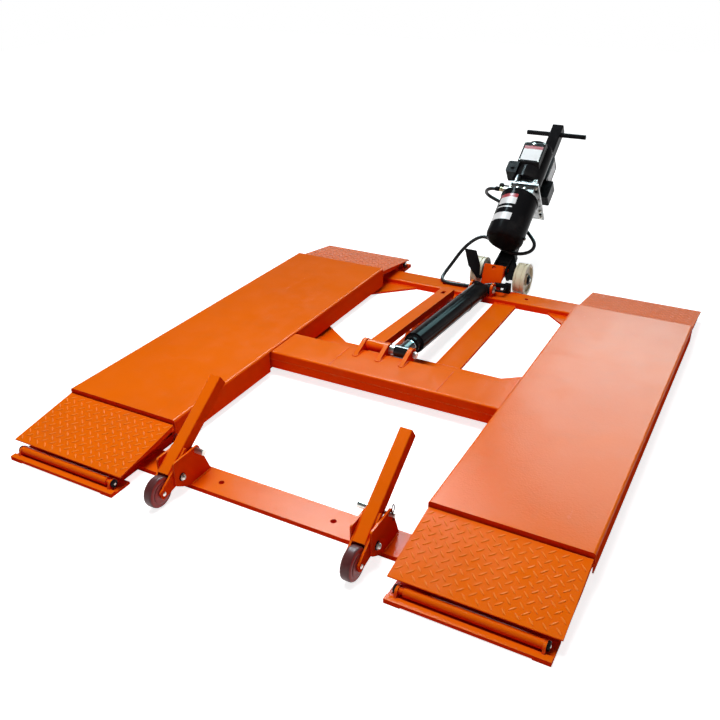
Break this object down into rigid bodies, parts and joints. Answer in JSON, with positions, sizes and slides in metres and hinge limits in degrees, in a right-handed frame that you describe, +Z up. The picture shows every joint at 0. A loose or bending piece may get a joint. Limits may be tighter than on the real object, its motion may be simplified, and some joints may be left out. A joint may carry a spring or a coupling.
{
  "type": "scissor_car_lift",
  "caption": "Low portable scissor lift for cars: two long decks with hinged ramps on crossed arms, a floor frame, a hydraulic cylinder and a wheeled power unit with a tow handle",
  "frame": {"origin": "on the floor, at the centre of the four anchor holes of the floor frame", "axes": "+X across the lift to the right as seen from the caster end, +Y from the caster end to the power unit, +Z up"},
  "size_m": [1.78, 2.7136, 0.6034],
  "materials": {
    "orange_paint": "satin powder coat with a fine orange-peel surface",
    "black_paint": "gloss black paint",
    "ivory_nylon": "cast nylon, slightly worn",
    "maroon_tread": "polyurethane tread, greyed by use",
    "zinc_steel": "zinc-plated steel",
    "chrome_rod": "ground and chromed",
    "cast_aluminium": "machined aluminium",
    "hose_rubber": "smooth black hose cover",
    "black_plastic": "moulded plastic",
    "plain_rubber": "moulded rubber"
  },
  "bodies": {
    "base": {"rails_left": "orange_paint", "rails_right": "orange_paint", "front_sills": "orange_paint", "rear_sills": "orange_paint", "front_cross_plate": "orange_paint", "mid_cross_plate": "orange_paint", "rear_cross_member": "orange_paint", "corner_gussets": "orange_paint", "tie_bar": "orange_paint", "lock_rack": "orange_paint", "cylinder_rear_ears": "orange_paint", "tow_hitch": "orange_paint", "caster_brackets": "orange_paint", "base_hardware": "zinc_steel", "floor_elbow": "black_paint", "hose": "hose_rubber"},
    "arms_a": {"arms_a_left": "orange_paint", "arms_a_right": "orange_paint", "front_pivot_shafts": "orange_paint", "centre_beam": "orange_paint", "clevis_ears": "orange_paint", "clevis_pin": "zinc_steel"},
    "cylinder_rod": {"piston_rod": "chrome_rod"},
    "cylinder_barrel": {"cylinder_barrel": "black_paint"},
    "lock_bar": {"lock_bar": "orange_paint"},
    "trolley": {"trolley_frame": "black_paint", "trolley_handle": "black_paint", "trolley_axle": "zinc_steel", "foot_pedal": "black_paint", "oil_tank": "black_paint", "pump_block": "cast_aluminium", "motor": "black_paint", "electric_boxes": "black_plastic", "pump_fitting": "zinc_steel"},
    "trolley_wheel_left": {"trolley_wheel_left": "ivory_nylon"},
    "trolley_wheel_right": {"trolley_wheel_right": "ivory_nylon"},
    "push_button": {"push_button": "black_plastic"},
    "release_lever": {"release_lever": "plain_rubber"},
    "arms_b_left": {"arms_b_left": "orange_paint"},
    "deck_left": {"deck_left": "orange_paint", "deck_fittings_left": "orange_paint"},
    "top_rollers_left": {"top_rollers_left": "zinc_steel"},
    "bottom_rollers_left": {"bottom_rollers_left": "zinc_steel"},
    "front_ramp_left": {"front_ramp_left": "orange_paint"},
    "rear_ramp_left": {"rear_ramp_left": "orange_paint"},
    "front_sill_roller_left": {"front_sill_roller_left": "orange_paint"},
    "rear_sill_roller_left": {"rear_sill_roller_left": "orange_paint"},
    "caster_lever_left": {"caster_lever_left": "orange_paint"},
    "caster_wheel_left": {"caster_wheel_left": "maroon_tread"},
    "arms_b_right": {"arms_b_right": "orange_paint"},
    "deck_right": {"deck_right": "orange_paint", "deck_fittings_right": "orange_paint"},
    "top_rollers_right": {"top_rollers_right": "zinc_steel"},
    "bottom_rollers_right": {"bottom_rollers_right": "zinc_steel"},
    "front_ramp_right": {"front_ramp_right": "orange_paint"},
    "rear_ramp_right": {"rear_ramp_right": "orange_paint"},
    "front_sill_roller_right": {"front_sill_roller_right": "orange_paint"},
    "rear_sill_roller_right": {"rear_sill_roller_right": "orange_paint"},
    "caster_lever_right": {"caster_lever_right": "orange_paint"},
    "caster_wheel_right": {"caster_wheel_right": "maroon_tread"}
  },
  "joints": [
    {"name": "lift", "type": "hinge", "parent": "base", "child": "arms_a", "pos_m": [0, -0.67037, 0.0273], "axis": [1, 0, 0], "range_deg": [0, 44]},
    {"name": "cylinder_swing", "type": "hinge", "parent": "arms_a", "child": "cylinder_rod", "pos_m": [0, 0, 0.112], "axis": [1, 0, 0], "range_deg": [-65.98, 0.5]},
    {"name": "cylinder_stroke", "type": "slide", "parent": "cylinder_rod", "child": "cylinder_barrel", "axis": [0, 0.9977, -0.0673], "range_m": [-0.001, 0.35867]},
    {"name": "lock_bar_swing", "type": "hinge", "parent": "arms_a", "child": "lock_bar", "pos_m": [0, 0, 0.112], "axis": [1, 0, 0], "range_deg": [-88.77, 0.5]},
    {"name": "scissor_left", "type": "hinge", "parent": "arms_a", "child": "arms_b_left", "pos_m": [-0.664, -0.021, 0.056], "axis": [1, 0, 0], "range_deg": [-89, 1]},
    {"name": "deck_hang_left", "type": "hinge", "parent": "arms_b_left", "child": "deck_left", "pos_m": [-0.664, -0.67037, 0.0847], "axis": [1, 0, 0], "range_deg": [-1, 45]},
    {"name": "top_rollers_left_spin", "type": "hinge", "parent": "arms_a", "child": "top_rollers_left", "pos_m": [-0.664, 0.62837, 0.0847], "axis": [1, 0, 0], "continuous": true},
    {"name": "bottom_rollers_left_spin", "type": "hinge", "parent": "arms_b_left", "child": "bottom_rollers_left", "pos_m": [-0.664, 0.62837, 0.0273], "axis": [1, 0, 0], "continuous": true},
    {"name": "front_ramp_tilt_left", "type": "hinge", "parent": "deck_left", "child": "front_ramp_left", "pos_m": [-0.664, -0.748, 0.0785], "axis": [1, 0, 0], "range_deg": [-9.34, 0]},
    {"name": "rear_ramp_tilt_left", "type": "hinge", "parent": "deck_left", "child": "rear_ramp_left", "pos_m": [-0.664, 0.706, 0.0785], "axis": [1, 0, 0], "range_deg": [0, 8.25]},
    {"name": "front_sill_roller_left_spin", "type": "hinge", "parent": "base", "child": "front_sill_roller_left", "pos_m": [-0.664, -0.994, 0.024], "axis": [1, 0, 0], "continuous": true},
    {"name": "rear_sill_roller_left_spin", "type": "hinge", "parent": "base", "child": "rear_sill_roller_left", "pos_m": [-0.664, 0.985, 0.024], "axis": [1, 0, 0], "continuous": true},
    {"name": "caster_lever_swing_left", "type": "hinge", "parent": "base", "child": "caster_lever_left", "pos_m": [-0.3, -0.915, 0.065], "axis": [1, 0, 0], "range_deg": [0, 35]},
    {"name": "caster_wheel_spin_left", "type": "hinge", "parent": "caster_lever_left", "child": "caster_wheel_left", "pos_m": [-0.3, -0.987, 0.049], "axis": [1, 0, 0], "continuous": true},
    {"name": "trolley_wheel_spin_left", "type": "hinge", "parent": "trolley", "child": "trolley_wheel_left", "pos_m": [-0.066, 0.95, 0.0703], "axis": [1, 0, 0], "continuous": true},
    {"name": "scissor_right", "type": "hinge", "parent": "arms_a", "child": "arms_b_right", "pos_m": [0.664, -0.021, 0.056], "axis": [1, 0, 0], "range_deg": [-89, 1]},
    {"name": "deck_hang_right", "type": "hinge", "parent": "arms_b_right", "child": "deck_right", "pos_m": [0.664, -0.67037, 0.0847], "axis": [1, 0, 0], "range_deg": [-1, 45]},
    {"name": "top_rollers_right_spin", "type": "hinge", "parent": "arms_a", "child": "top_rollers_right", "pos_m": [0.664, 0.62837, 0.0847], "axis": [1, 0, 0], "continuous": true},
    {"name": "bottom_rollers_right_spin", "type": "hinge", "parent": "arms_b_right", "child": "bottom_rollers_right", "pos_m": [0.664, 0.62837, 0.0273], "axis": [1, 0, 0], "continuous": true},
    {"name": "front_ramp_tilt_right", "type": "hinge", "parent": "deck_right", "child": "front_ramp_right", "pos_m": [0.664, -0.748, 0.0785], "axis": [1, 0, 0], "range_deg": [-9.34, 0]},
    {"name": "rear_ramp_tilt_right", "type": "hinge", "parent": "deck_right", "child": "rear_ramp_right", "pos_m": [0.664, 0.706, 0.0785], "axis": [1, 0, 0], "range_deg": [0, 8.25]},
    {"name": "front_sill_roller_right_spin", "type": "hinge", "parent": "base", "child": "front_sill_roller_right", "pos_m": [0.664, -0.994, 0.024], "axis": [1, 0, 0], "continuous": true},
    {"name": "rear_sill_roller_right_spin", "type": "hinge", "parent": "base", "child": "rear_sill_roller_right", "pos_m": [0.664, 0.985, 0.024], "axis": [1, 0, 0], "continuous": true},
    {"name": "caster_lever_swing_right", "type": "hinge", "parent": "base", "child": "caster_lever_right", "pos_m": [0.343, -0.915, 0.065], "axis": [1, 0, 0], "range_deg": [0, 35]},
    {"name": "caster_wheel_spin_right", "type": "hinge", "parent": "caster_lever_right", "child": "caster_wheel_right", "pos_m": [0.343, -0.987, 0.049], "axis": [1, 0, 0], "continuous": true},
    {"name": "trolley_wheel_spin_right", "type": "hinge", "parent": "trolley", "child": "trolley_wheel_right", "pos_m": [0.134, 0.95, 0.0703], "axis": [1, 0, 0], "continuous": true},
    {"name": "trolley_tilt", "type": "hinge", "parent": "base", "child": "trolley", "pos_m": [0.034, 0.932, 0.104], "axis": [1, 0, 0], "range_deg": [0, 45], "deforming": ["hose"]},
    {"name": "release_lever_turn", "type": "hinge", "parent": "trolley", "child": "release_lever", "pos_m": [-0.0343, 1.19492, 0.40675], "axis": [1, 0, 0], "range_deg": [-20, 20], "stiffness_Nm_per_rad": 0.3},
    {"name": "push_button_press", "type": "slide", "parent": "trolley", "child": "push_button", "axis": [0, 0.5821, -0.8131], "range_m": [0, 0.004], "stiffness_N_per_m": 400}
  ],
  "couplings": [
    {"joint": "cylinder_swing", "follows": "lift", "ratio": -1.4882},
    {"joint": "cylinder_stroke", "follows": "lift", "m_per_rad": 0.46444},
    {"joint": "lock_bar_swing", "follows": "lift", "ratio": -2.0062},
    {"joint": "scissor_left", "follows": "lift", "ratio": -2},
    {"joint": "deck_hang_left", "follows": "lift", "ratio": 1},
    {"joint": "scissor_right", "follows": "lift", "ratio": -2},
    {"joint": "deck_hang_right", "follows": "lift", "ratio": 1}
  ]
}
